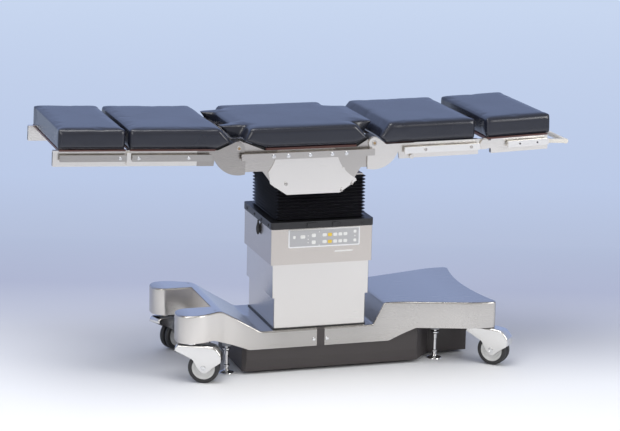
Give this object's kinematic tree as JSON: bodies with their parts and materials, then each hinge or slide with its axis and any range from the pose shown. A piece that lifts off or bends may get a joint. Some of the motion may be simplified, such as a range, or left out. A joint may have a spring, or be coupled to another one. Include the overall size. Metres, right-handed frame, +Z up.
{
  "type": "operating table",
  "caption": "Mobile operating table with padded folding sections, a lifting column with bellows, tilting top and a steel castor base with floor locks.",
  "frame": {"origin": "centre of the overall box on the floor", "axes": "+X towards the head end, +Y away from the keypad side, +Z up"},
  "size_m": [2.0964, 0.6902, 1.0311],
  "materials": {
    "brushed_steel": "brushed",
    "satin_steel": "satin",
    "bright_steel": "polished",
    "dark_paint": "satin",
    "frame_paint": "satin",
    "black_plastic": "matte",
    "seal_rubber": "matte",
    "bellows_rubber": "satin",
    "keypad_foil": "satin foil",
    "pad_cover": "smooth coated cover",
    "tyre_rubber": "matte",
    "hub_plastic": "satin"
  },
  "bodies": {
    "base": {"base_cover": "brushed_steel", "base_skirt": "dark_paint", "chassis_frame": "frame_paint", "column_seal": "seal_rubber", "column_lower_cover": "brushed_steel", "mast_outer": "satin_steel", "lift_cylinder": "frame_paint"},
    "floor_locks": {"floor_lock_feet": "bright_steel"},
    "carriage": {"mast_middle": "satin_steel", "column_upper_cover": "brushed_steel", "column_collar": "black_plastic", "bellows": "bellows_rubber", "keypad_panel": "keypad_foil", "collar_hook": "black_plastic"},
    "mast_head": {"mast_inner": "satin_steel", "lift_rod": "bright_steel", "tilt_head": "satin_steel"},
    "cradle": {"tilt_cross": "satin_steel"},
    "seat": {"seat_frame": "frame_paint", "seat_side_plates": "satin_steel", "seat_cover_plates": "brushed_steel", "seat_rails": "satin_steel", "seat_board": "black_plastic", "seat_pad": "pad_cover", "seat_tongue_leg": "pad_cover", "seat_tongue_back": "pad_cover", "drive_cylinders": "frame_paint", "leg_hinge_pins": "bright_steel", "back_hinge_pins": "bright_steel"},
    "leg_section": {"leg_hinge_plates": "satin_steel", "leg_beams": "brushed_steel", "leg_rails": "satin_steel", "leg_board": "black_plastic", "leg_pad": "pad_cover"},
    "leg_extension": {"extension_beams": "brushed_steel", "extension_rails": "satin_steel", "extension_board": "black_plastic", "extension_pad": "pad_cover"},
    "back_section": {"back_hinge_plates": "satin_steel", "back_beams": "brushed_steel", "back_rails": "satin_steel", "back_board": "black_plastic", "back_pad": "pad_cover"},
    "head_section": {"head_beams": "brushed_steel", "head_rails": "satin_steel", "head_board": "black_plastic", "head_pad": "pad_cover"},
    "release_bar": {"head_release_bar": "bright_steel"},
    "caster_leg_near": {"caster_leg_near_hood": "brushed_steel"},
    "wheels_leg_near": {"caster_leg_near_tyres": "tyre_rubber", "caster_leg_near_hubs": "hub_plastic"},
    "caster_leg_far": {"caster_leg_far_hood": "brushed_steel"},
    "wheels_leg_far": {"caster_leg_far_tyres": "tyre_rubber", "caster_leg_far_hubs": "hub_plastic"},
    "caster_head_near": {"caster_head_near_hood": "brushed_steel"},
    "wheels_head_near": {"caster_head_near_tyres": "tyre_rubber", "caster_head_near_hubs": "hub_plastic"},
    "caster_head_far": {"caster_head_far_hood": "brushed_steel"},
    "wheels_head_far": {"caster_head_far_tyres": "tyre_rubber", "caster_head_far_hubs": "hub_plastic"}
  },
  "joints": [
    {"name": "column_lift", "type": "slide", "parent": "base", "child": "carriage", "axis": [0, 0, 1], "range_m": [-0.08, 0.04]},
    {"name": "mast_lift", "type": "slide", "parent": "carriage", "child": "mast_head", "axis": [0, 0, 1], "range_m": [-0.112, 0.056], "deforming": ["bellows"]},
    {"name": "trendelenburg", "type": "hinge", "parent": "mast_head", "child": "cradle", "pos_m": [0.03966, 0, 0.868], "axis": [0, 1, 0], "range_deg": [-25, 25]},
    {"name": "lateral_tilt", "type": "hinge", "parent": "cradle", "child": "seat", "pos_m": [0.03966, 0, 0.868], "axis": [1, 0, 0], "range_deg": [-15, 15]},
    {"name": "leg_fold", "type": "hinge", "parent": "seat", "child": "leg_section", "pos_m": [-0.32534, 0, 0.933], "axis": [0, -1, 0], "range_deg": [-20, 57], "deforming": ["seat_tongue_leg"]},
    {"name": "leg_extension", "type": "slide", "parent": "leg_section", "child": "leg_extension", "axis": [-0.9994, 0, 0.0358], "range_m": [0, 0.15]},
    {"name": "back_fold", "type": "hinge", "parent": "seat", "child": "back_section", "pos_m": [0.22265, 0, 0.933], "axis": [0, -1, 0], "range_deg": [-40, 70], "deforming": ["seat_tongue_back"]},
    {"name": "head_fold", "type": "hinge", "parent": "back_section", "child": "head_section", "pos_m": [0.68793, 0, 0.91003], "axis": [0, -1, 0], "range_deg": [-45, 18]},
    {"name": "head_release", "type": "hinge", "parent": "head_section", "child": "release_bar", "pos_m": [0.92706, 0, 0.91063], "axis": [0, -1, 0], "range_deg": [0, 20], "stiffness_Nm_per_rad": 4, "springref_deg": -17.19},
    {"name": "floor_lock_lift", "type": "slide", "parent": "base", "child": "floor_locks", "axis": [0, 0, 1], "range_m": [0, 0.012]},
    {"name": "swivel_leg_near", "type": "hinge", "parent": "base", "child": "caster_leg_near", "pos_m": [-0.49434, -0.216, 0.154], "axis": [0, 0, 1], "continuous": true},
    {"name": "roll_leg_near", "type": "hinge", "parent": "caster_leg_near", "child": "wheels_leg_near", "pos_m": [-0.4474, -0.23593, 0.062], "axis": [0.3907, 0.9205, 0], "continuous": true},
    {"name": "swivel_leg_far", "type": "hinge", "parent": "base", "child": "caster_leg_far", "pos_m": [-0.49434, 0.216, 0.154], "axis": [0, 0, 1], "continuous": true},
    {"name": "roll_leg_far", "type": "hinge", "parent": "caster_leg_far", "child": "wheels_leg_far", "pos_m": [-0.44931, 0.23994, 0.062], "axis": [-0.4695, 0.8829, 0], "continuous": true},
    {"name": "swivel_head_near", "type": "hinge", "parent": "base", "child": "caster_head_near", "pos_m": [0.71966, -0.238, 0.154], "axis": [0, 0, 1], "continuous": true},
    {"name": "roll_head_near", "type": "hinge", "parent": "caster_head_near", "child": "wheels_head_near", "pos_m": [0.75572, -0.27406, 0.062], "axis": [0.7071, 0.7071, 0], "continuous": true},
    {"name": "swivel_head_far", "type": "hinge", "parent": "base", "child": "caster_head_far", "pos_m": [0.71966, 0.238, 0.154], "axis": [0, 0, 1], "continuous": true},
    {"name": "roll_head_far", "type": "hinge", "parent": "caster_head_far", "child": "wheels_head_far", "pos_m": [0.75572, 0.27406, 0.062], "axis": [-0.7071, 0.7071, 0], "continuous": true}
  ],
  "couplings": [
    {"joint": "mast_lift", "follows": "column_lift", "ratio": 1.4}
  ]
}
